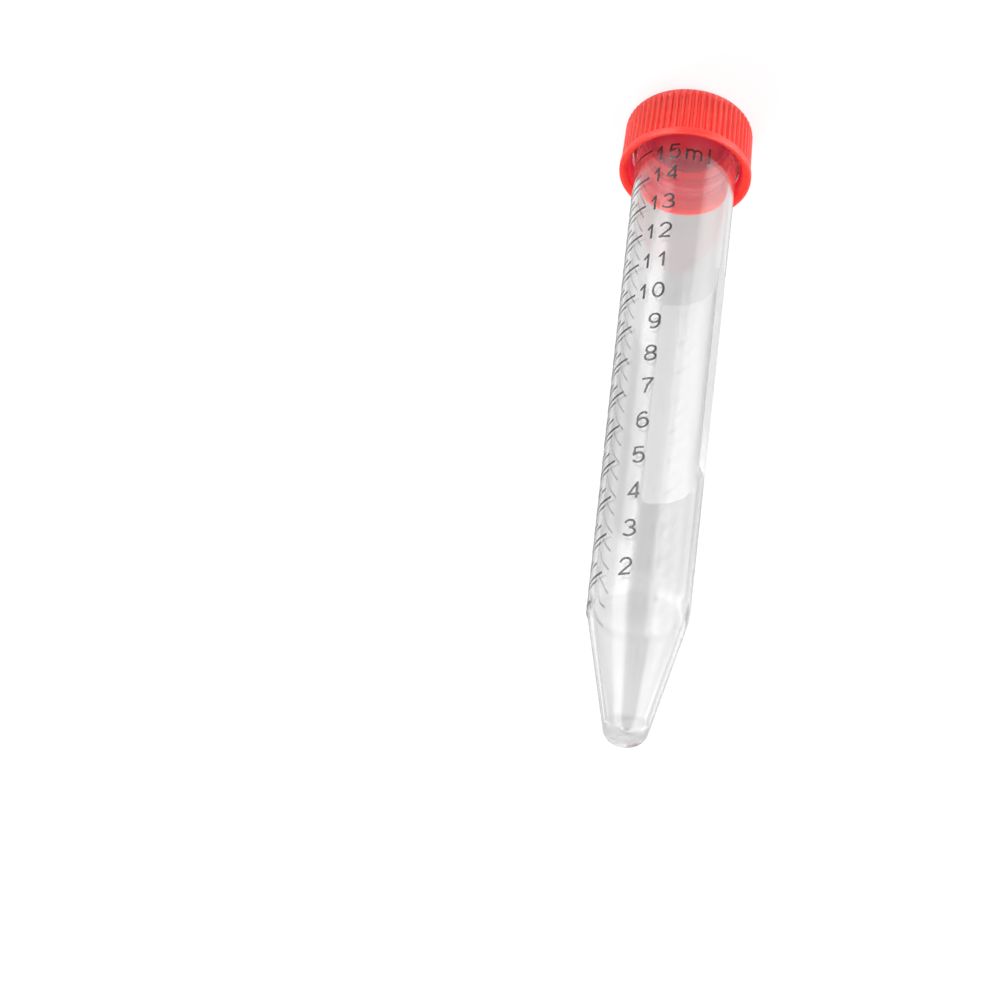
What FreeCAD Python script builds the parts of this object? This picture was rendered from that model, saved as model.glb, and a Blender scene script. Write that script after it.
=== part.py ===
"""A 15 ml conical centrifuge tube with its screw cap, in millimetres.

The part stands on the flat top of its cap: the origin is the middle of that face, and +Z runs along the
axis from the cap to the tip of the tube. Heights are z values from the face that it stands on.
"""
import math
import os

import FreeCAD
import Part

# ---- the tube -------------------------------------------------------------------------------------------
OVERALL_HEIGHT = 119.9      # cap top to tip
LIP_RADIUS = 8.47           # outside of the tube at its lip
SHOULDER_RADIUS = 7.77      # outside of the body where the cone starts: the body has moulding draft
CONE_HEIGHT = 22.5          # shoulder to tip
TIP_RADIUS = 3.0            # where the cone's side line meets the end face
TIP_ROUNDING = 2.2          # corner between the cone and the end face
SHOULDER_ROUNDING = 2.5
WALL = 1.04
CONE_WALL = 0.87
TIP_FLOOR = 1.7             # thickness of the closed end
BORE_END_ROUNDING = 1.5     # inside corner of the closed end
LIP_ROUNDING = 0.25

# ---- the cap --------------------------------------------------------------------------------------------
CAP_HEIGHT = 10.5
CAP_TOP_THICKNESS = 1.4
CAP_TOP_RADIUS = 10.55      # over the ribs, at the closed end
CAP_GRIP_RADIUS = 10.76     # over the ribs, where they end at the band
CAP_BAND_RADIUS = 10.93     # smooth band round the open rim
CAP_BAND_HEIGHT = 1.25
CAP_EDGE_ROUNDING = 1.3
CAP_BAND_ROUNDING = 0.4
CAP_BORE_RADIUS = 9.75
CAP_RIM_CHAMFER = 0.6
RIB_COUNT = 62
RIB_DEPTH = 0.34
RIB_FLOOR_SHARE = 0.32      # share of the rib spacing that is the groove's flat floor
RIB_MOUTH_SHARE = 0.80      # share of the rib spacing that the groove is wide at its mouth
RIB_START = 0.5             # the grooves start this far above the flat top, in the rounded edge

# ---- the plug that seals the mouth ----------------------------------------------------------------------
PLUG_CLEARANCE = 0.12       # radial, inside the mouth
PLUG_THICKNESS = 0.8
PLUG_HEIGHT = 2.2
PLUG_CHAMFER = 0.3

# ---- the threads ----------------------------------------------------------------------------------------
THREAD_PITCH = 3.0
THREAD_TURNS = 1.6
THREAD_HEIGHT = 0.60        # of the neck's thread, from its root
THREAD_ROOT_WIDTH = 1.5
THREAD_CREST_WIDTH = 0.6
THREAD_START = 1.9          # middle of the first turn, from the lip
THREAD_CLEARANCE = 0.12     # radial, crest to crest, so that the cap also pulls straight off
CAP_THREAD_LAG = 0.5        # the cap's thread lies this share of a pitch further from the lip
THREAD_SINK = 0.15          # how deep a thread's root reaches into the wall that carries it

# ---- the print ------------------------------------------------------------------------------------------
INK = 0.10                  # thickness of the printed film
REACH = 1.0                 # how far the tools that shape the film reach each side of the wall
SCALE_AZIMUTH = -40.5       # direction of the end of the scale lines that is next to the numbers, degrees
SCALE_MIDDLE_Z = 52.0       # where the scale has that direction: the screen was a little askew
SCALE_SKEW = 0.10           # how much the scale turns round the tube, degrees per millimetre of height
LINE_WIDTH = 0.42
LINE_START_ARC = 80.0       # how far the scale lines reach round the tube from SCALE_AZIMUTH, degrees
HALF_LINE_GAP_ARC = 23.5    # how much shorter the half millilitre lines are, degrees
FIRST_MARK_ML = 1.5
FIRST_NUMBER_ML = 2
LAST_MARK_ML = 15
DIGIT_HEIGHT = 3.20
DIGIT_WIDTH = 2.08
DIGIT_PITCH = 2.62
DIGIT_STROKE = 0.38
LAST_DIGIT_OFFSET = 4.15    # from the scale lines' end to the middle of the last digit, along the wall
UNIT_DROP = 1.3             # the number with the unit lies this much nearer to the tip than its line
UNIT_M_OFFSET = 3.20        # the m and the l of the unit, from the middle of the last digit
UNIT_M_WIDTH = 2.8
UNIT_L_OFFSET = 5.80
UNIT_X_HEIGHT = 2.2

PATCH_AZIMUTH = 147.8       # middle of the writing patch, degrees
PATCH_ARC = 132.3
PATCH_BOTTOM = 47.8         # from the tip
PATCH_HEIGHT = 40.1
PATCH_CORNER = 0.9

# ---- worked out from the above --------------------------------------------------------------------------
LIP_Z = CAP_TOP_THICKNESS
RIM_Z = CAP_HEIGHT
TIP_Z = OVERALL_HEIGHT
SHOULDER_Z = TIP_Z - CONE_HEIGHT
BAND_Z = CAP_HEIGHT - CAP_BAND_HEIGHT
MOUTH_RADIUS = LIP_RADIUS - WALL
BORE_END_Z = TIP_Z - TIP_FLOOR
CREST_RADIUS = LIP_RADIUS + THREAD_HEIGHT
CAP_CREST_RADIUS = CREST_RADIUS + THREAD_CLEARANCE
THREAD_END_Z = LIP_Z + THREAD_START + THREAD_TURNS * THREAD_PITCH + THREAD_ROOT_WIDTH / 2
BODY_SLOPE = (LIP_RADIUS - SHOULDER_RADIUS) / (SHOULDER_Z - LIP_Z)
CONE_SLOPE = (SHOULDER_RADIUS - TIP_RADIUS) / CONE_HEIGHT
CONE_BORE_INSET = CONE_WALL * math.hypot(1.0, CONE_SLOPE)
BORE_SHOULDER_RADIUS = SHOULDER_RADIUS - WALL
BORE_SHOULDER_Z = SHOULDER_Z + (WALL - CONE_BORE_INSET) / CONE_SLOPE
BORE_END_RADIUS = BORE_SHOULDER_RADIUS - CONE_SLOPE * (BORE_END_Z - BORE_SHOULDER_Z)

AXIS = FreeCAD.Vector(0, 0, 1)
ORIGIN = FreeCAD.Vector(0, 0, 0)


# ---- outlines -------------------------------------------------------------------------------------------
def outline(corners):
    """A closed wire in the XZ plane through (radius, z, rounding) corners, each rounded by its arc."""
    edges = []
    joints = []
    count = len(corners)
    for i, (r, z, rounding) in enumerate(corners):
        here = FreeCAD.Vector(r, 0, z)
        before = FreeCAD.Vector(corners[i - 1][0], 0, corners[i - 1][1])
        after = FreeCAD.Vector(corners[(i + 1) % count][0], 0, corners[(i + 1) % count][1])
        if rounding == 0:
            joints.append((here, here, None))
            continue
        back = (before - here).normalize()
        ahead = (after - here).normalize()
        half = back.getAngle(ahead) / 2
        reach = rounding / math.tan(half)
        bisector = (back + ahead).normalize()
        middle = here + bisector * (rounding / math.sin(half) - rounding)
        joints.append((here + back * reach, here + ahead * reach, middle))
    for i, (start, end, middle) in enumerate(joints):
        if middle is not None:
            edges.append(Part.Arc(start, middle, end).toShape())
        following = joints[(i + 1) % count][0]
        if end.distanceToPoint(following) > 1e-6:
            edges.append(Part.LineSegment(end, following).toShape())
    return Part.Wire(edges)


def turned(corners):
    return Part.Face(outline(corners)).revolve(ORIGIN, AXIS, 360)


def body_radius(z):
    """Outside of the tube at a height between its lip and the shoulder."""
    return LIP_RADIUS - BODY_SLOPE * (z - LIP_Z)


def bore_radius(z):
    """Inside of the tube at a height, without the rounding of the closed end."""
    if z > BORE_SHOULDER_Z:
        return BORE_SHOULDER_RADIUS - CONE_SLOPE * (z - BORE_SHOULDER_Z)
    return body_radius(z) - WALL


# ---- threads --------------------------------------------------------------------------------------------
def thread(root_radius, crest_radius, start_z):
    """One helical ridge from root_radius to crest_radius, inwards or outwards, along THREAD_TURNS."""
    outwards = 1 if crest_radius > root_radius else -1
    sunk_radius = root_radius - outwards * THREAD_SINK
    half_root = THREAD_ROOT_WIDTH / 2
    half_crest = THREAD_CREST_WIDTH / 2
    spine = Part.makeHelix(THREAD_PITCH, THREAD_PITCH * THREAD_TURNS, root_radius)
    section = Part.makePolygon([
        FreeCAD.Vector(sunk_radius, 0, -half_root),
        FreeCAD.Vector(crest_radius, 0, -half_crest),
        FreeCAD.Vector(crest_radius, 0, half_crest),
        FreeCAD.Vector(sunk_radius, 0, half_root),
        FreeCAD.Vector(sunk_radius, 0, -half_root)])
    ridge = Part.Wire(spine).makePipeShell([section], True, True)
    ridge.translate(FreeCAD.Vector(0, 0, start_z))
    return ridge


# ---- the tube -------------------------------------------------------------------------------------------
def tube_body():
    wall = turned([
        (MOUTH_RADIUS, LIP_Z, LIP_ROUNDING),
        (LIP_RADIUS, LIP_Z, LIP_ROUNDING),
        (SHOULDER_RADIUS, SHOULDER_Z, SHOULDER_ROUNDING),
        (TIP_RADIUS, TIP_Z, TIP_ROUNDING),
        (0, TIP_Z, 0),
        (0, BORE_END_Z, 0),
        (BORE_END_RADIUS, BORE_END_Z, BORE_END_ROUNDING),
        (BORE_SHOULDER_RADIUS, BORE_SHOULDER_Z, SHOULDER_ROUNDING)])
    return wall.fuse(thread(LIP_RADIUS, CREST_RADIUS, LIP_Z + THREAD_START))


# ---- the cap --------------------------------------------------------------------------------------------
def rib_groove():
    """The space between two ribs, at azimuth 0, cut along the draft of the grip."""
    spacing = 2 * math.pi * CAP_GRIP_RADIUS / RIB_COUNT
    lean = (CAP_GRIP_RADIUS - CAP_TOP_RADIUS) / (BAND_Z - CAP_EDGE_ROUNDING)
    floor_radius = CAP_GRIP_RADIUS - RIB_DEPTH
    outside = CAP_GRIP_RADIUS + RIB_DEPTH
    half_floor = spacing * RIB_FLOOR_SHARE / 2
    half_mouth = spacing * RIB_MOUTH_SHARE / 2
    half_outside = half_mouth + (half_mouth - half_floor)
    section = Part.Face(Part.makePolygon([
        FreeCAD.Vector(floor_radius, -half_floor, BAND_Z),
        FreeCAD.Vector(outside, -half_outside, BAND_Z),
        FreeCAD.Vector(outside, half_outside, BAND_Z),
        FreeCAD.Vector(floor_radius, half_floor, BAND_Z),
        FreeCAD.Vector(floor_radius, -half_floor, BAND_Z)]))
    length = BAND_Z - RIB_START
    return section.extrude(FreeCAD.Vector(-lean * length, 0, -length))


def screw_cap():
    plug_outer = MOUTH_RADIUS - PLUG_CLEARANCE
    plug_inner = plug_outer - PLUG_THICKNESS
    plug_end = LIP_Z + PLUG_HEIGHT
    blank = turned([
        (0, 0, 0),
        (CAP_TOP_RADIUS, 0, CAP_EDGE_ROUNDING),
        (CAP_GRIP_RADIUS, BAND_Z, 0),
        (CAP_BAND_RADIUS, BAND_Z, 0),
        (CAP_BAND_RADIUS, RIM_Z, CAP_BAND_ROUNDING),
        (CAP_BORE_RADIUS + CAP_RIM_CHAMFER, RIM_Z, 0),
        (CAP_BORE_RADIUS, RIM_Z - CAP_RIM_CHAMFER, 0),
        (CAP_BORE_RADIUS, LIP_Z, 0),
        (plug_outer, LIP_Z, 0),
        (plug_outer, plug_end - PLUG_CHAMFER, 0),
        (plug_outer - PLUG_CHAMFER, plug_end, 0),
        (plug_inner, plug_end, 0),
        (plug_inner, LIP_Z, 0),
        (0, LIP_Z, 0)])
    groove = rib_groove()
    grooves = []
    for i in range(RIB_COUNT):
        copy = groove.copy()
        copy.rotate(ORIGIN, AXIS, 360.0 * i / RIB_COUNT)
        grooves.append(copy)
    start_z = LIP_Z + THREAD_START + CAP_THREAD_LAG * THREAD_PITCH
    return blank.cut(grooves).fuse(thread(CAP_BORE_RADIUS, CAP_CREST_RADIUS, start_z))


# ---- the print ------------------------------------------------------------------------------------------
def mark_heights():
    """The z of each half millilitre mark, from the volume of the bore between it and the tip.

    Marks that would reach the neck's thread are left out.
    """
    heights = {}
    step = 0.02
    volume = 0.0
    z = BORE_END_Z
    mark = FIRST_MARK_ML
    while mark <= LAST_MARK_ML and z > THREAD_END_Z + DIGIT_HEIGHT / 2:
        z -= step
        volume += math.pi * bore_radius(z + step / 2) ** 2 * step / 1000
        if volume >= mark:
            heights[mark] = z
            mark += 0.5
    return heights


def scale_azimuth(z):
    """Direction of the end of the scale lines at a height."""
    return SCALE_AZIMUTH + SCALE_SKEW * (z - SCALE_MIDDLE_Z)


def film(z_low, z_high, azimuth, arc):
    """A printed film on the body between two heights, reaching arc degrees from azimuth."""
    low = body_radius(z_low)
    high = body_radius(z_high)
    section = Part.Face(Part.makePolygon([
        FreeCAD.Vector(low, 0, z_low),
        FreeCAD.Vector(low + INK, 0, z_low),
        FreeCAD.Vector(high + INK, 0, z_high),
        FreeCAD.Vector(high, 0, z_high),
        FreeCAD.Vector(low, 0, z_low)]))
    section.rotate(ORIGIN, AXIS, azimuth)
    return section.revolve(ORIGIN, AXIS, arc)


def scale_lines():
    lines = []
    for mark, z in mark_heights().items():
        gap = 0 if mark == int(mark) else HALF_LINE_GAP_ARC
        half = LINE_WIDTH / 2
        lines.append(film(z - half, z + half, scale_azimuth(z) + gap, LINE_START_ARC - gap))
    return Part.Compound(lines)


def bowl(centre_x, centre_y, radius_x, radius_y, start, end):
    """Points along a part of an ellipse, from one angle to another in degrees."""
    steps = max(int(abs(end - start) / 22.5), 4)
    turns = [math.radians(start + (end - start) * i / steps) for i in range(steps + 1)]
    return [(centre_x + radius_x * math.cos(t), centre_y + radius_y * math.sin(t)) for t in turns]


def digit_strokes(digit):
    """The strokes of one digit in a box from -1 to 1 across and 0 to 2 up."""
    strokes = {
        "0": [bowl(0, 1, 1, 1, 0, 360)],
        "1": [[(0.3, 0), (0.3, 2), (-0.55, 1.35)]],
        "2": [bowl(0, 1.4, 1, 0.6, 170, -35) + [(-1, 0), (1, 0)]],
        "3": [bowl(-0.1, 1.5, 0.9, 0.5, 160, -90), bowl(-0.1, 0.5, 1.1, 0.5, 90, -160)],
        "4": [[(0.5, 0), (0.5, 2), (-1, 0.55), (1, 0.55)]],
        "5": [[(0.85, 2), (-0.7, 2), (-0.9, 1.05)] + bowl(0, 0.65, 1, 0.65, 140, -155)],
        "6": [bowl(0, 0.62, 1, 0.62, 180, -180), bowl(0.1, 1, 1.1, 1, 180, 55)],
        "7": [[(-1, 2), (1, 2), (0.1, 1), (-0.25, 0)]],
        "8": [bowl(0, 1.5, 0.88, 0.5, -90, 270), bowl(0, 0.5, 1, 0.5, 90, 450)],
        "9": [bowl(0, 1.38, 1, 0.62, 0, 360), bowl(-0.1, 1, 1.1, 1, 0, -125)]}
    return strokes[digit]


def stroke_solids(points, width, depth):
    """Bars along a stroke with round joins between them, lying in the XY plane and depth thick."""
    solids = []
    half = width / 2
    for (ax, ay), (bx, by) in zip(points, points[1:]):
        length = math.hypot(bx - ax, by - ay)
        bar = Part.makeBox(length, width, depth, FreeCAD.Vector(0, -half, 0))
        bar.rotate(ORIGIN, AXIS, math.degrees(math.atan2(by - ay, bx - ax)))
        bar.translate(FreeCAD.Vector(ax, ay, 0))
        solids.append(bar)
    for x, y in points[1:-1]:
        solids.append(Part.makeCylinder(half, depth, FreeCAD.Vector(x, y, 0)))
    return solids


def on_wall(shape, azimuth, z):
    """Place a shape drawn with x to the right and y up so that it faces out of the body's wall.

    Up is towards the cap. The shape's own origin goes to a point REACH inside the wall.
    """
    turn_to = math.radians(azimuth)
    outwards = FreeCAD.Vector(math.cos(turn_to), math.sin(turn_to), 0)
    right = FreeCAD.Vector(math.sin(turn_to), -math.cos(turn_to), 0)
    towards_cap = FreeCAD.Vector(0, 0, -1)
    turn = FreeCAD.Rotation(right, towards_cap, outwards, "ZXY")
    corner = outwards * (body_radius(z) - REACH) + FreeCAD.Vector(0, 0, z)
    placed = shape.copy()
    placed.Placement = FreeCAD.Placement(corner, turn).multiply(shape.Placement)
    return placed


def along_wall(distance, z):
    """Degrees round the body for a distance along its wall."""
    return math.degrees(distance / body_radius(z))


def printed_glyph(strokes, offset, z):
    """Strokes in millimetres printed on the wall, centred at z.

    offset runs along the wall from the scale lines' end to the middle of the glyph.
    """
    lowered = [[(x, y - DIGIT_HEIGHT / 2) for x, y in points] for points in strokes]
    bars = [bar for points in lowered for bar in stroke_solids(points, DIGIT_STROKE, 2 * REACH)]
    azimuth = scale_azimuth(z) - along_wall(offset, z)
    cutter = on_wall(bars[0].fuse(bars[1:]), azimuth, z)
    half_arc = along_wall(2 * DIGIT_WIDTH, z)
    return film(z - DIGIT_HEIGHT, z + DIGIT_HEIGHT, azimuth - half_arc, 2 * half_arc).common(cutter)


def digit_glyph(digit):
    across = (DIGIT_WIDTH - DIGIT_STROKE) / 2
    up = (DIGIT_HEIGHT - DIGIT_STROKE) / 2
    edge = DIGIT_STROKE / 2
    return [[(x * across, edge + y * up) for x, y in points] for points in digit_strokes(digit)]


def letter_m():
    arch = (UNIT_M_WIDTH - DIGIT_STROKE) / 4
    top = UNIT_X_HEIGHT - DIGIT_STROKE / 2
    left_arch = bowl(-arch, top - arch, arch, arch, 180, 0)
    right_arch = bowl(arch, top - arch, arch, arch, 180, 0)
    stem = [(-2 * arch, 0), (-2 * arch, UNIT_X_HEIGHT)]
    return [stem, left_arch + [(0, 0)], right_arch + [(2 * arch, 0)]]


def letter_l():
    return [[(0, 0), (0, DIGIT_HEIGHT)]]


def scale_numbers():
    glyphs = []
    heights = mark_heights()
    for mark in range(FIRST_NUMBER_ML, LAST_MARK_ML + 1):
        if mark not in heights:
            continue
        z = heights[mark] + (UNIT_DROP if mark == LAST_MARK_ML else 0)
        for place, digit in enumerate(reversed(str(mark))):
            offset = LAST_DIGIT_OFFSET - place * DIGIT_PITCH
            glyphs.append(printed_glyph(digit_glyph(digit), offset, z))
    if LAST_MARK_ML in heights:
        z = heights[LAST_MARK_ML] + UNIT_DROP
        glyphs.append(printed_glyph(letter_m(), LAST_DIGIT_OFFSET + UNIT_M_OFFSET, z))
        glyphs.append(printed_glyph(letter_l(), LAST_DIGIT_OFFSET + UNIT_L_OFFSET, z))
    return Part.Compound([solid for g in glyphs for solid in g.Solids])


def writing_patch():
    low = TIP_Z - PATCH_BOTTOM - PATCH_HEIGHT
    high = low + PATCH_HEIGHT
    start = PATCH_AZIMUTH - PATCH_ARC / 2
    patch = film(low, high, start, PATCH_ARC)
    waste = Part.makeBox(2 * PATCH_CORNER, 2 * PATCH_CORNER, 2 * REACH)
    waste = waste.cut(Part.makeCylinder(PATCH_CORNER, 2 * REACH))
    corners = []
    for z, side, quarter in ((low, 1, 1), (high, 1, 2), (high, -1, 3), (low, -1, 0)):
        inset_z = z + PATCH_CORNER if z == low else z - PATCH_CORNER
        inset = along_wall(PATCH_CORNER, inset_z)
        azimuth = start + PATCH_ARC - inset if side > 0 else start + inset
        corner = waste.copy()
        corner.rotate(ORIGIN, AXIS, 90 * quarter)
        corners.append(on_wall(Part.Compound([corner]), azimuth, inset_z))
    return patch.cut(corners)


def main():
    os.makedirs("parts", exist_ok=True)
    nodes = {
        "screw_cap": screw_cap(),
        "tube_body": tube_body(),
        "scale_lines": scale_lines(),
        "scale_numbers": scale_numbers(),
        "writing_patch": writing_patch()}
    for name, shape in nodes.items():
        box = shape.BoundBox
        print(name, "valid", shape.isValid(), "solids", len(shape.Solids), "faces", len(shape.Faces),
              "mm3 %.2f" % shape.Volume, "z %.3f to %.3f" % (box.ZMin, box.ZMax))
        shape.exportStep(f"parts/{name}.step")


main()
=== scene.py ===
"""A 15 ml conical centrifuge tube with its screw cap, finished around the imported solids.

The tube stands on the flat top of its cap. Sizes are in millimetres until they reach Blender, in metres.
"""
import math
import bmesh
import bpy
from mathutils import Matrix, Quaternion, Vector


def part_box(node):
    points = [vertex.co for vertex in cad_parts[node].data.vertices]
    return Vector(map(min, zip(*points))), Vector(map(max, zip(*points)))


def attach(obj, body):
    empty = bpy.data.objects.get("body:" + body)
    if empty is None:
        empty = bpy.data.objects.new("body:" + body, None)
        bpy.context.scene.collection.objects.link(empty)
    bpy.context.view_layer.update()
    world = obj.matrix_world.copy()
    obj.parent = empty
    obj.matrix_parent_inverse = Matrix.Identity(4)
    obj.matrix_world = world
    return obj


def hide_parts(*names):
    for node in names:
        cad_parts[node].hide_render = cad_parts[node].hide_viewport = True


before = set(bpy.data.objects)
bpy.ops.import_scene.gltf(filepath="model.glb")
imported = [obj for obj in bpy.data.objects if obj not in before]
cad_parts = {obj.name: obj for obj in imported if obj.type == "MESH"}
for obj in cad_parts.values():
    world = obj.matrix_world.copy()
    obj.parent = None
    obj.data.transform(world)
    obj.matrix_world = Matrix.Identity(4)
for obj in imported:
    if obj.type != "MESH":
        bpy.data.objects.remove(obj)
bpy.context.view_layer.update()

MM = 0.001

# ---- sizes of the moulded pieces, in millimetres ----------------------------------------------------------
TIP_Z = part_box("tube_body")[1].z / MM
LIP_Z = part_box("tube_body")[0].z / MM
RIM_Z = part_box("screw_cap")[1].z / MM
BAND_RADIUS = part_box("screw_cap")[1].x / MM

LIP_RADIUS = 8.47
SHOULDER_RADIUS = 7.77
SHOULDER_Z = TIP_Z - 22.5
TIP_RADIUS = 3.0
TIP_ROUNDING = 2.2
# softer than the solid's knee, which would throw hard glints
SHOULDER_ROUNDING = 12.0
LIP_ROUNDING = 0.25
WALL = 1.04
CONE_WALL = 0.87
TIP_FLOOR = 1.7
BORE_END_ROUNDING = 1.9

CAP_TOP_RADIUS = 10.55
CAP_GRIP_RADIUS = 10.76
BAND_HEIGHT = 1.25
BAND_STEP = 0.1
CAP_EDGE_ROUNDING = 1.3
BAND_ROUNDING = 0.4
CAP_BORE_RADIUS = 9.75
RIM_CHAMFER = 0.6
# how near the bore's radius a point counts as a corner of the bore, and as part of its wall
BORE_CORNER_SLACK = 0.01
BORE_WALL_SLACK = 0.05

# the grooves between the ribs are deeper than the solid's, so that their shade shows; the two shares say how
# much of half a rib is crest and how much is flank
RIBS = 62
RIB_DEPTH = 0.55
RIB_CREST_SHARE = 0.28
RIB_FLANK_SHARE = 0.36
RIB_START_Z = 0.35
RIB_RUN_IN = 0.9

PLUG_CLEARANCE = 0.12
PLUG_THICKNESS = 0.8
PLUG_HEIGHT = 2.2

THREAD_PITCH = 3.0
THREAD_TURNS = 1.6
THREAD_RUN_IN_TURNS = 0.12
THREAD_HEIGHT = 0.60
THREAD_ROOT_WIDTH = 1.5
THREAD_CREST_WIDTH = 0.7
THREAD_START = 1.9
THREAD_CLEARANCE = 0.12

# the printed film stands out of the wall and reaches into it; further out than the middle, a point of the
# solid's film is on its outer face
INK_OUT = 0.02
INK_IN = 0.01
INK_MIDDLE = 0.03

BODY_SLOPE = (LIP_RADIUS - SHOULDER_RADIUS) / (SHOULDER_Z - LIP_Z)
CONE_SLOPE = (SHOULDER_RADIUS - TIP_RADIUS) / (TIP_Z - SHOULDER_Z)

# ---- how finely the meshes are drawn: arcs in degrees, rows in millimetres --------------------------------
TUBE_COLUMNS = 192
TUBE_ARC_STEP = 3.0
TUBE_ROW = 4.0
NECK_THREAD_ROW = 0.1
CAP_COLUMNS_PER_RIB = 10
CAP_ARC_STEP = 22.5
CAP_ROW = 0.5
CAP_THREAD_ROW = 0.2
PRINT_CUTS = 90
PRINT_WELD = 0.002
PRINT_CUT_SNAP = 0.0005

# ---- the camera, the lamps and the floor, in millimetres, degrees and watts -------------------------------
SENSOR = 36.0
LENS = 116.09
CAMERA_PLACE = (22.74, -403.13, 364.31)
CAMERA_AIM = (22.74, -0.03, 80.51)
CAMERA_ROLL = -172.03
LAMP_AIM = (0, 0, 50)
LAMPS = [
    ("key_lamp", (140, -550, 300), (500, 400), 2.6),
    ("fill_lamp", (-520, 70, 250), (400, 400), 2.15),
    ("back_lamp", (230, 490, 350), (400, 400), 3.6)]
FLOOR_HALF = 2000
FLOOR_DROP = 0.02
FLOOR_GLOW = 0.60
FLOOR_WHITE_BY_METRES = [(0.20, 0.20), (0.60, 0.28)]

# How bright mirrors and clear plastic see the studio. Bearings are degrees round the tube from the camera's
# side, and a steepness is how far a ray climbs for its length, below zero where it falls. The camera is
# rolled, so left is towards +X and right towards -X.
PAPER = [(0, 0.0), (100, 0.0), (120, 0.58), (138, 0.58), (150, 1.05), (158, 0.60), (164, 0.46), (172, 0.50),
         (180, 0.53)]
PAPER_BY_STEEPNESS = [(-0.665, 1.2), (-0.64, 1.18), (-0.60, 1.0), (-0.575, 1.0), (-0.54, 1.24), (-0.53, 1.38),
                      (-0.50, 1.38), (-0.30, 0.95), (0.0, 1.0)]
ROOM = [(0, 1.0), (100, 1.0), (120, 0.0), (180, 0.0)]
ROOM_BY_STEEPNESS = [(-0.71, 1.5), (-0.67, 0.55), (-0.60, 1.15), (-0.50, 1.20), (-0.30, 1.0)]
LEFT_BOX = [(15, 0.0), (24, 0.6), (35, 3.7), (60, 2.2), (68, 0.8), (80, 0.4), (92, 0.8), (106, 0.6),
            (120, 0.0)]
LEFT_BY_STEEPNESS = [(-0.652, 0.0), (-0.632, 1.0), (-0.50, 1.0), (-0.30, 1.5)]
RIGHT_BOX = [(30, 1.3), (48, 1.6), (60, 1.9), (74, 1.6), (88, 1.2), (106, 0.35), (122, 0.2), (135, 0.0)]
RIGHT_BY_STEEPNESS = [(-0.665, 0.6), (-0.65, 1.0), (-0.50, 1.0), (-0.30, 2.7)]
RIGHT_EDGE = [(30, 0.0), (36, 0.8), (44, 1.0)]
RIGHT_LEAN = [(-0.67, 1.45), (-0.58, 1.0)]
CALM_BY_STEEPNESS = [(-0.44, 0.0), (-0.37, 1.0)]
CALM_BOXES = 0.15
CALM_ROOM = 0.55
FILL_LEVEL = 0.86

# times that light may pass to and fro inside the clear wall
BOUNCES = 96

PLUS = {"operation": "ADD"}
MINUS = {"operation": "SUBTRACT"}
TIMES = {"operation": "MULTIPLY"}
OVER = {"operation": "DIVIDE"}


# ---- materials --------------------------------------------------------------------------------------------
def linear(hex_colour):
    """An sRGB hex colour as linear red, green, blue and alpha."""
    channels = [int(hex_colour[i:i + 2], 16) / 255 for i in (1, 3, 5)]
    return [c / 12.92 if c <= 0.04045 else ((c + 0.055) / 1.055) ** 2.4 for c in channels] + [1.0]


def add(tree, kind, settings=None, **links):
    """A node with its settings, and its inputs set to values or linked from sockets.

    An input's name is written with underscores for spaces, and i0, i1 and so on pick an input by its place.
    """
    node = tree.nodes.new(kind)
    for name, value in (settings or {}).items():
        setattr(node, name, value)
    for name, value in links.items():
        place = name[1:] if name[0] == "i" and name[1:].isdigit() else None
        socket = node.inputs[int(place)] if place else node.inputs[name.replace("_", " ")]
        if isinstance(value, bpy.types.NodeSocket):
            tree.links.new(value, socket)
        else:
            socket.default_value = value
    return node


def new_material(name):
    material = bpy.data.materials.new(name)
    material.use_nodes = True
    material.node_tree.nodes.clear()
    return material, material.node_tree


def mottle(tree, grain_mm, low, high, stretch=(1, 1, 1)):
    """A soft random value between low and high, with spots of about grain_mm."""
    place = add(tree, "ShaderNodeTexCoord").outputs["Object"]
    scaled = add(tree, "ShaderNodeMapping", Vector=place, Scale=stretch).outputs[0]
    # the noise keeps mostly between 0.3 and 0.7, which is spread over the whole range
    noise = add(tree, "ShaderNodeTexNoise", Vector=scaled, Scale=1 / (grain_mm * MM), Detail=3.0)
    return add(tree, "ShaderNodeMapRange", Value=noise.outputs["Fac"], From_Min=0.3, From_Max=0.7,
               To_Min=low, To_Max=high).outputs["Result"]


def curve(tree, value, stops):
    """A level that runs straight from stop to stop of (value, level)."""
    low, high = stops[0][0], stops[-1][0]
    top = max(level for _, level in stops)
    place = add(tree, "ShaderNodeMapRange", Value=value, From_Min=low, From_Max=high).outputs[0]
    ramp = add(tree, "ShaderNodeValToRGB", Fac=place)
    while len(ramp.color_ramp.elements) < len(stops):
        ramp.color_ramp.elements.new(1.0)
    for element, (stop, level) in zip(ramp.color_ramp.elements, stops):
        element.position = (stop - low) / (high - low)
        element.color = (level / top, level / top, level / top, 1)
    return add(tree, "ShaderNodeMath", TIMES, i0=ramp.outputs[0], i1=top).outputs[0]


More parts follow.
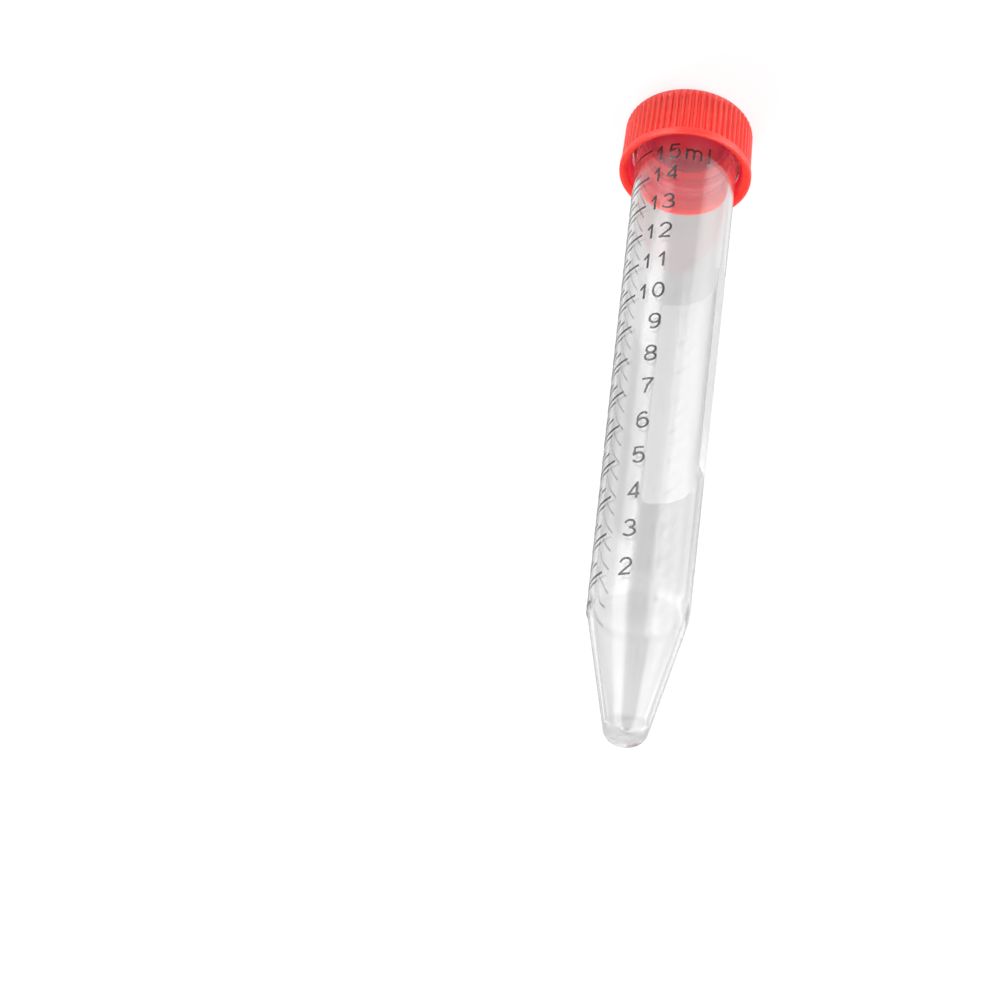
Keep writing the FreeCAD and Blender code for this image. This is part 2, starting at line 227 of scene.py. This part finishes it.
def clear_polypropylene():
    """Natural polypropylene moulded in a polished tool: glassy, with a faint milky cloud in the wall."""
    material, tree = new_material("clear_moulded_polypropylene")
    # the thick end and the knee above the cone are cloudier than the straight wall
    place = add(tree, "ShaderNodeTexCoord").outputs["Object"]
    height = add(tree, "ShaderNodeSeparateXYZ", Vector=place).outputs[2]
    thick = curve(tree, height, [((SHOULDER_Z - 3) * MM, 1.0), (SHOULDER_Z * MM, 0.95),
                                 ((SHOULDER_Z + 3) * MM, 1.0), ((TIP_Z - 3) * MM, 1.0), (TIP_Z * MM, 0.9)])
    # flow marks of a few millimetres, drawn out along the tube as the plastic ran
    cloud = mottle(tree, 3.0, 0.975, 0.995, (1, 1, 0.3))
    clear_share = add(tree, "ShaderNodeMath", TIMES, i0=cloud, i1=thick).outputs[0]
    shader = add(tree, "ShaderNodeBsdfPrincipled", Base_Color=linear("#f7f7f7"),
                 Roughness=0.05, IOR=1.49, Transmission_Weight=clear_share)
    # lamps reach the inside of the tube, as they do through clear plastic
    past = add(tree, "ShaderNodeBsdfTransparent", Color=linear("#fdfdfd"))
    shadow = add(tree, "ShaderNodeLightPath").outputs["Is Shadow Ray"]
    both = add(tree, "ShaderNodeMixShader", i0=shadow, i1=shader.outputs[0], i2=past.outputs[0])
    add(tree, "ShaderNodeOutputMaterial", Surface=both.outputs[0])
    return material


def red_polyethylene():
    """Pigmented polyethylene moulded in a fine-spark tool: satin, waxy, glowing where the wall is thin."""
    material, tree = new_material("red_moulded_polyethylene")
    # painted light and shade: deep inside the skirt, where little light falls in and what reaches it comes
    # through the wall, the red is painted bluer and a little darker
    place = add(tree, "ShaderNodeTexCoord").outputs["Object"]
    split = add(tree, "ShaderNodeSeparateXYZ", Vector=place)
    across = add(tree, "ShaderNodeCombineXYZ", X=split.outputs[0], Y=split.outputs[1]).outputs[0]
    radius = add(tree, "ShaderNodeVectorMath", {"operation": "LENGTH"}, i0=across).outputs["Value"]
    within = add(tree, "ShaderNodeMapRange", Value=radius, From_Min=(CAP_BORE_RADIUS + 0.3) * MM,
                 From_Max=(CAP_BORE_RADIUS + 0.1) * MM).outputs["Result"]
    deep = add(tree, "ShaderNodeMapRange", Value=split.outputs[2], From_Min=(RIM_Z - 0.1) * MM,
               From_Max=(RIM_Z - 3.0) * MM).outputs["Result"]
    painted_skirt_tint = add(tree, "ShaderNodeMath", TIMES, i0=within, i1=deep).outputs[0]
    outer = add(tree, "ShaderNodeMix", {"data_type": "RGBA"}, i0=mottle(tree, 1.6, 0, 1),
                i6=linear("#d2281a"), i7=linear("#de3323")).outputs[2]
    # the painted light and shade of the skirt's inside, mixed over the red
    colour = add(tree, "ShaderNodeMix", {"data_type": "RGBA"}, i0=painted_skirt_tint,
                 i6=outer, i7=linear("#da264c")).outputs[2]
    sheen = mottle(tree, 0.8, 0.28, 0.40)
    # the grain of a fine spark finish is a few hundredths of a millimetre; it is drawn coarser, to show
    grain = mottle(tree, 0.12, 0, 1)
    relief = add(tree, "ShaderNodeBump", Strength=0.15, Distance=0.01 * MM, Height=grain)
    shader = add(tree, "ShaderNodeBsdfPrincipled", Base_Color=colour, Roughness=sheen, IOR=1.51,
                 Specular_IOR_Level=0.5, Subsurface_Weight=0.8, Subsurface_Radius=(6.0, 0.6, 0.45),
                 Subsurface_Scale=MM, Normal=relief.outputs[0])
    add(tree, "ShaderNodeOutputMaterial", Surface=shader.outputs[0])
    return material


def black_scale_ink():
    """Screen-printed ink: a thin glossy film, a little uneven where the mesh laid it down."""
    material, tree = new_material("black_screen_printed_ink")
    # the threads of a printing screen are finer than this; the spots are drawn coarser, to show
    colour = add(tree, "ShaderNodeMix", {"data_type": "RGBA"}, i0=mottle(tree, 0.25, 0, 1),
                 i6=linear("#19191b"), i7=linear("#2f2f31")).outputs[2]
    shader = add(tree, "ShaderNodeBsdfPrincipled", Base_Color=colour, Roughness=0.12, IOR=1.55)
    add(tree, "ShaderNodeOutputMaterial", Surface=shader.outputs[0])
    return material


def white_patch_ink():
    """Matt white ink for pencil or marker: chalky, and thin enough for light to show through."""
    material, tree = new_material("white_screen_printed_ink")
    colour = add(tree, "ShaderNodeMix", {"data_type": "RGBA"}, i0=mottle(tree, 0.5, 0, 1),
                 i6=linear("#f5f5f5"), i7=linear("#fdfdfd")).outputs[2]
    film = add(tree, "ShaderNodeBsdfPrincipled", Base_Color=colour, Roughness=0.7)
    glow = add(tree, "ShaderNodeBsdfTranslucent", Color=colour)
    both = add(tree, "ShaderNodeMixShader", i0=0.65, i1=film.outputs[0], i2=glow.outputs[0])
    add(tree, "ShaderNodeOutputMaterial", Surface=both.outputs[0])
    return material


# ---- meshes -----------------------------------------------------------------------------------------------
def new_object(name, data):
    """An object in the scene that holds a mesh, a lamp or a camera."""
    thing = bpy.data.objects.new(name, data)
    bpy.context.scene.collection.objects.link(thing)
    return thing


def rounded(corners, arc_step):
    """Points along (radius, z, rounding) corners, each rounded by an arc in steps of arc_step degrees."""
    points = []
    for i, (r, z, rounding) in enumerate(corners):
        here = Vector((r, z))
        if rounding == 0:
            points.append((r, z))
            continue
        back = (Vector(corners[i - 1][:2]) - here).normalized()
        ahead = (Vector(corners[i + 1][:2]) - here).normalized()
        half = back.angle(ahead) / 2
        centre = here + (back + ahead).normalized() * (rounding / math.sin(half))
        start = here + back * (rounding / math.tan(half)) - centre
        end = here + ahead * (rounding / math.tan(half)) - centre
        sweep = start.angle_signed(end)
        steps = max(round(abs(math.degrees(sweep)) / arc_step), 2)
        for step in range(steps + 1):
            spoke = start.copy()
            spoke.rotate(Matrix.Rotation(-sweep * step / steps, 2))
            points.append(tuple(centre + spoke))
    return points


def filled(points, longest):
    """The same line with more points, so that no stretch is longer than longest."""
    line = [points[0]]
    for (r0, z0), (r1, z1) in zip(points, points[1:]):
        steps = max(math.ceil(math.hypot(r1 - r0, z1 - z0) / longest), 1)
        for step in range(1, steps + 1):
            line.append((r0 + (r1 - r0) * step / steps, z0 + (z1 - z0) * step / steps))
    return line


def lathe(name, line, columns, relief):
    """A closed turned piece from a line that starts and ends on the axis, its faces turned outwards.

    relief(angle, r, z) gives how far a point is raised from the turned surface.
    """
    mesh = bpy.data.meshes.new(name)
    verts = [(0, 0, line[0][1] * MM)]
    for r, z in line[1:-1]:
        for column in range(columns):
            angle = 2 * math.pi * column / columns
            radius = r + relief(angle, r, z)
            verts.append((radius * math.cos(angle) * MM, radius * math.sin(angle) * MM, z * MM))
    verts.append((0, 0, line[-1][1] * MM))
    rows = len(line) - 2
    faces = []
    for column in range(columns):
        beside = (column + 1) % columns
        faces.append((0, 1 + beside, 1 + column))
        for row in range(rows - 1):
            low = 1 + row * columns
            high = low + columns
            faces.append((low + column, low + beside, high + beside, high + column))
        last = 1 + (rows - 1) * columns
        faces.append((last + column, last + beside, len(verts) - 1))
    mesh.from_pydata(verts, [], faces)
    mesh.shade_smooth()
    piece = new_object(name, mesh)
    shape = bmesh.new()
    shape.from_mesh(mesh)
    bmesh.ops.recalc_face_normals(shape, faces=shape.faces)
    shape.to_mesh(mesh)
    shape.free()
    return piece


def smooth(share):
    """An S-shaped step from 0 to 1."""
    share = min(max(share, 0), 1)
    return share * share * (3 - 2 * share)


def ridge(angle, z, start_z):
    """Share of the full height of a thread whose first turn starts at start_z, at angle 0."""
    turn = angle / (2 * math.pi)
    slope = (THREAD_ROOT_WIDTH - THREAD_CREST_WIDTH) / 2
    best = 0.0
    for whole in range(math.ceil(THREAD_TURNS) + 1):
        along = turn + whole
        if along > THREAD_TURNS:
            continue
        across = abs(z - start_z - along * THREAD_PITCH)
        height = smooth((THREAD_ROOT_WIDTH / 2 - across) / slope)
        run_in = min(along, THREAD_TURNS - along) / THREAD_RUN_IN_TURNS
        best = max(best, height * min(run_in, 1))
    return best


def body_radius(z):
    """The outer radius of the straight wall between the lip and the knee."""
    return LIP_RADIUS - BODY_SLOPE * (z - LIP_Z)


def make_tube():
    inset = CONE_WALL * math.hypot(1, CONE_SLOPE)
    bore_shoulder_r = SHOULDER_RADIUS - WALL
    bore_shoulder_z = SHOULDER_Z + (WALL - inset) / CONE_SLOPE
    bore_end_z = TIP_Z - TIP_FLOOR
    bore_end_r = bore_shoulder_r - CONE_SLOPE * (bore_end_z - bore_shoulder_z)
    line = rounded([
        (0, TIP_Z, 0),
        (TIP_RADIUS, TIP_Z, TIP_ROUNDING),
        (SHOULDER_RADIUS, SHOULDER_Z, SHOULDER_ROUNDING),
        (LIP_RADIUS, LIP_Z, LIP_ROUNDING),
        (LIP_RADIUS - WALL, LIP_Z, LIP_ROUNDING),
        (bore_shoulder_r, bore_shoulder_z, SHOULDER_ROUNDING),
        (bore_end_r, bore_end_z, BORE_END_ROUNDING),
        (0, bore_end_z, 0)], TUBE_ARC_STEP)
    # the neck is drawn in fine rows, so that its thread comes out round
    neck_end = LIP_Z + THREAD_START + THREAD_TURNS * THREAD_PITCH + THREAD_ROOT_WIDTH
    neck_point = (body_radius(neck_end), neck_end)
    lip_at = next(i for i, (r, z) in enumerate(line) if z < neck_end)
    bore_at = next(i for i in range(lip_at, len(line)) if line[i][1] > neck_end)
    line = (filled(line[:lip_at] + [neck_point], TUBE_ROW)
            + filled([neck_point] + line[lip_at:bore_at - 1], NECK_THREAD_ROW)[1:]
            + filled(line[bore_at - 1:], TUBE_ROW))
    wall_middle = LIP_RADIUS - 0.6 * WALL

    def neck_thread(angle, r, z):
        if z > neck_end or r < wall_middle:
            return 0
        return ridge(angle, z, LIP_Z + THREAD_START) * (LIP_RADIUS + THREAD_HEIGHT - r)

    return lathe("tube", line, TUBE_COLUMNS, neck_thread)


def make_cap():
    plug_outer = LIP_RADIUS - WALL - PLUG_CLEARANCE
    plug_end = LIP_Z + PLUG_HEIGHT
    band_z = RIM_Z - BAND_HEIGHT
    # radius, height and rounding of each corner, from the middle of the top round to the middle inside
    line = rounded([
        (0, 0, 0),
        (CAP_TOP_RADIUS, 0, CAP_EDGE_ROUNDING),
        (CAP_GRIP_RADIUS, band_z, 0.08),
        (BAND_RADIUS, band_z + BAND_STEP, 0.05),
        (BAND_RADIUS, RIM_Z, BAND_ROUNDING),
        (CAP_BORE_RADIUS + RIM_CHAMFER, RIM_Z, 0.1),
        (CAP_BORE_RADIUS, RIM_Z - RIM_CHAMFER, 0.1),
        (CAP_BORE_RADIUS, LIP_Z, 0.3),
        (plug_outer, LIP_Z, 0.1),
        (plug_outer, plug_end, 0.3),
        (plug_outer - PLUG_THICKNESS, plug_end, 0.2),
        (plug_outer - PLUG_THICKNESS, LIP_Z, 0.2),
        (0, LIP_Z, 0)], CAP_ARC_STEP)
    # the wall of the bore is drawn in finer rows, for the thread
    bore_from = next(i for i, (r, z) in enumerate(line)
                     if abs(r - CAP_BORE_RADIUS) < BORE_CORNER_SLACK and z > LIP_Z)
    line = (filled(line[:bore_from + 1], CAP_ROW)
            + filled(line[bore_from:bore_from + 2], CAP_THREAD_ROW)[1:]
            + filled(line[bore_from + 1:], CAP_ROW)[1:])
    crest = LIP_RADIUS + THREAD_HEIGHT + THREAD_CLEARANCE
    # the cap's thread lies in the gaps of the tube's, half a pitch further on
    thread_z = LIP_Z + THREAD_START + 0.5 * THREAD_PITCH
    grip_inner = CAP_TOP_RADIUS - CAP_EDGE_ROUNDING
    skirt_middle = CAP_BORE_RADIUS + 0.5
    grip_end = band_z + 0.02

    def ribs_and_thread(angle, r, z):
        if r > (grip_inner if z < LIP_Z else skirt_middle) and z < grip_end:
            away = abs((angle * RIBS / (2 * math.pi)) % 1 - 0.5) * 2
            groove = smooth((away - RIB_CREST_SHARE) / RIB_FLANK_SHARE)
            return -RIB_DEPTH * groove * smooth((z - RIB_START_Z) / RIB_RUN_IN)
        if abs(r - CAP_BORE_RADIUS) < BORE_WALL_SLACK and LIP_Z < z < RIM_Z:
            return ridge(angle, z, thread_z) * (crest - r)
        return 0

    return lathe("cap", line, RIBS * CAP_COLUMNS_PER_RIB, ribs_and_thread)


def make_print(node, name):
    """The print of a CAD node as a thinner film that follows the wall closely and sits in its surface."""
    shape = bmesh.new()
    shape.from_mesh(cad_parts[node].data)
    bmesh.ops.remove_doubles(shape, verts=shape.verts, dist=PRINT_WELD * MM)
    for cut in range(PRINT_CUTS):
        angle = math.radians(180 / PRINT_CUTS * cut)
        parts = shape.verts[:] + shape.edges[:] + shape.faces[:]
        bmesh.ops.bisect_plane(shape, geom=parts, plane_co=(0, 0, 0), dist=PRINT_CUT_SNAP * MM,
                               plane_no=(math.sin(angle), -math.cos(angle), 0))
    for vert in shape.verts:
        radius = math.hypot(vert.co.x, vert.co.y) / MM
        wall = body_radius(vert.co.z / MM)
        wanted = wall + (INK_OUT if radius > wall + INK_MIDDLE else -INK_IN)
        vert.co.x *= wanted / radius
        vert.co.y *= wanted / radius
    mesh = bpy.data.meshes.new(name)
    shape.to_mesh(mesh)
    shape.free()
    return new_object(name, mesh)


# ---- the stage --------------------------------------------------------------------------------------------
def make_floor():
    half = FLOOR_HALF * MM
    mesh = bpy.data.meshes.new("floor")
    mesh.from_pydata([(-half, -half, 0), (half, -half, 0), (half, half, 0), (-half, half, 0)], [],
                     [(0, 1, 2, 3)])
    floor = new_object("floor", mesh)
    floor.location.z = -FLOOR_DROP * MM
    floor.visible_glossy = False
    floor.visible_transmission = False
    material, tree = new_material("white_backdrop_paper")
    matt = add(tree, "ShaderNodeBsdfDiffuse", Color=linear("#6c6c6c"))
    # the paper is white to the eye, also far out where the lamps don't reach
    seen = add(tree, "ShaderNodeLightPath").outputs["Is Camera Ray"]
    place = add(tree, "ShaderNodeTexCoord").outputs["Object"]
    far = add(tree, "ShaderNodeVectorMath", {"operation": "LENGTH"}, i0=place).outputs["Value"]
    white = curve(tree, far, FLOOR_WHITE_BY_METRES)
    to_the_eye = add(tree, "ShaderNodeMath", TIMES, i0=seen, i1=white).outputs[0]
    level = add(tree, "ShaderNodeMath", PLUS, i0=to_the_eye, i1=FLOOR_GLOW).outputs[0]
    glow = add(tree, "ShaderNodeEmission", Color=linear("#ffffff"), Strength=level)
    both = add(tree, "ShaderNodeAddShader", i0=matt.outputs[0], i1=glow.outputs[0])
    add(tree, "ShaderNodeOutputMaterial", Surface=both.outputs[0])
    mesh.materials.append(material)


def lit(tree, bearing, by_bearing, steep, by_steepness):
    """A level of the studio that depends on both the bearing and the steepness of a ray."""
    return add(tree, "ShaderNodeMath", TIMES, i0=curve(tree, bearing, by_bearing),
               i1=curve(tree, steep, by_steepness)).outputs[0]


def studio_levels(tree, through):
    """The light of two long softboxes, the room and the paper, in the direction of a ray.

    through is 1 for a ray that passes through the plastic.
    """
    way = add(tree, "ShaderNodeTexCoord").outputs["Generated"]
    across, along, steep = add(tree, "ShaderNodeSeparateXYZ", Vector=way).outputs
    ahead = add(tree, "ShaderNodeMath", TIMES, i0=along, i1=-1.0).outputs[0]
    angle = add(tree, "ShaderNodeMath", {"operation": "ARCTAN2"}, i0=across, i1=ahead).outputs[0]
    bearing = add(tree, "ShaderNodeMath", {"operation": "DEGREES"}, i0=angle).outputs[0]
    aside = add(tree, "ShaderNodeMath", {"operation": "ABSOLUTE"}, i0=bearing).outputs[0]
    to_right = add(tree, "ShaderNodeMath", TIMES, i0=bearing, i1=-1.0).outputs[0]
    # the right box leans, so its near edge moves with the steepness
    leant = add(tree, "ShaderNodeMath", OVER, i0=to_right, i1=curve(tree, steep, RIGHT_LEAN)).outputs[0]
    right = add(tree, "ShaderNodeMath", TIMES, i0=curve(tree, to_right, RIGHT_BOX),
                i1=lit(tree, leant, RIGHT_EDGE, steep, RIGHT_BY_STEEPNESS)).outputs[0]
    left = lit(tree, bearing, LEFT_BOX, steep, LEFT_BY_STEEPNESS)
    boxes = add(tree, "ShaderNodeMath", PLUS, i0=left, i1=right).outputs[0]
    room = lit(tree, aside, ROOM, steep, ROOM_BY_STEEPNESS)
    paper = lit(tree, aside, PAPER, steep, PAPER_BY_STEEPNESS)
    # seen through the tube from the side, the studio is a calm grey
    calm = add(tree, "ShaderNodeMath", TIMES, i0=curve(tree, steep, CALM_BY_STEEPNESS), i1=through).outputs[0]
    calmed = []
    for level, share in ((boxes, CALM_BOXES), (room, CALM_ROOM)):
        left_over = add(tree, "ShaderNodeMapRange", Value=calm, To_Min=1.0, To_Max=share).outputs[0]
        calmed.append(add(tree, "ShaderNodeMath", TIMES, i0=level, i1=left_over).outputs[0])
    backdrop = add(tree, "ShaderNodeMath", PLUS, i0=calmed[1], i1=paper).outputs[0]
    return add(tree, "ShaderNodeMath", PLUS, i0=calmed[0], i1=backdrop).outputs[0]


def make_world():
    """White to the eye, the studio to mirrors and clear plastic, and an even fill to everything else."""
    world = bpy.data.worlds.new("studio")
    bpy.context.scene.world = world
    world.use_nodes = True
    tree = world.node_tree
    tree.nodes.clear()
    path = add(tree, "ShaderNodeLightPath").outputs
    through = path["Is Transmission Ray"]
    sharp = add(tree, "ShaderNodeMath", {"operation": "MAXIMUM"}, i0=path["Is Glossy Ray"], i1=through)
    # light that leaks through the patch is diffuse as well, and sees the fill
    mirror_or_glass = add(tree, "ShaderNodeMath", MINUS, i0=sharp.outputs[0], i1=path["Is Diffuse Ray"])
    studio = add(tree, "ShaderNodeMix", {"data_type": "FLOAT"}, i0=mirror_or_glass.outputs[0], i2=FILL_LEVEL,
                 i3=studio_levels(tree, through))
    seen = add(tree, "ShaderNodeMix", {"data_type": "FLOAT"}, i0=path["Is Camera Ray"],
               i2=studio.outputs[0], i3=1.0)
    background = add(tree, "ShaderNodeBackground", Color=linear("#ffffff"), Strength=seen.outputs[0])
    add(tree, "ShaderNodeOutputWorld", Surface=background.outputs[0])


def point_at(thing, target):
    """Turn a lamp or the camera towards a point in millimetres."""
    aim = Vector(target) * MM - thing.location
    thing.rotation_mode = "QUATERNION"
    thing.rotation_quaternion = aim.to_track_quat("-Z", "Y")


def area_lamp(name, place, size, power):
    data = bpy.data.lights.new(name, "AREA")
    data.shape = "RECTANGLE"
    data.size, data.size_y = size[0] * MM, size[1] * MM
    data.energy = power
    lamp = new_object(name, data)
    lamp.location = Vector(place) * MM
    point_at(lamp, LAMP_AIM)
    lamp.visible_glossy = False
    lamp.visible_transmission = False


def make_camera():
    data = bpy.data.cameras.new("camera")
    data.sensor_width = SENSOR
    data.lens = LENS
    data.clip_start = 0.01
    data.clip_end = 20.0
    camera = new_object("camera", data)
    camera.location = Vector(CAMERA_PLACE) * MM
    point_at(camera, CAMERA_AIM)
    camera.rotation_quaternion @= Quaternion((0, 0, 1), math.radians(CAMERA_ROLL))
    bpy.context.scene.camera = camera


def dress(piece, material, body, node):
    """Give a piece its material, and put it in the place of a CAD node, on a body."""
    piece.data.materials.clear()
    piece.data.materials.append(material)
    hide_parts(node)
    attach(piece, body)


make_camera()
make_world()
make_floor()
for lamp in LAMPS:
    area_lamp(*lamp)

dress(make_tube(), clear_polypropylene(), "tube", "tube_body")
dress(make_cap(), red_polyethylene(), "cap", "screw_cap")
ink = black_scale_ink()
dress(make_print("scale_lines", "lines_print"), ink, "tube", "scale_lines")
dress(make_print("scale_numbers", "numbers_print"), ink, "tube", "scale_numbers")
dress(make_print("writing_patch", "patch_print"), white_patch_ink(), "tube", "writing_patch")

bpy.context.scene.view_settings.view_transform = "Standard"
cycles = bpy.context.scene.cycles
cycles.max_bounces, cycles.glossy_bounces, cycles.transmission_bounces = BOUNCES, BOUNCES, BOUNCES
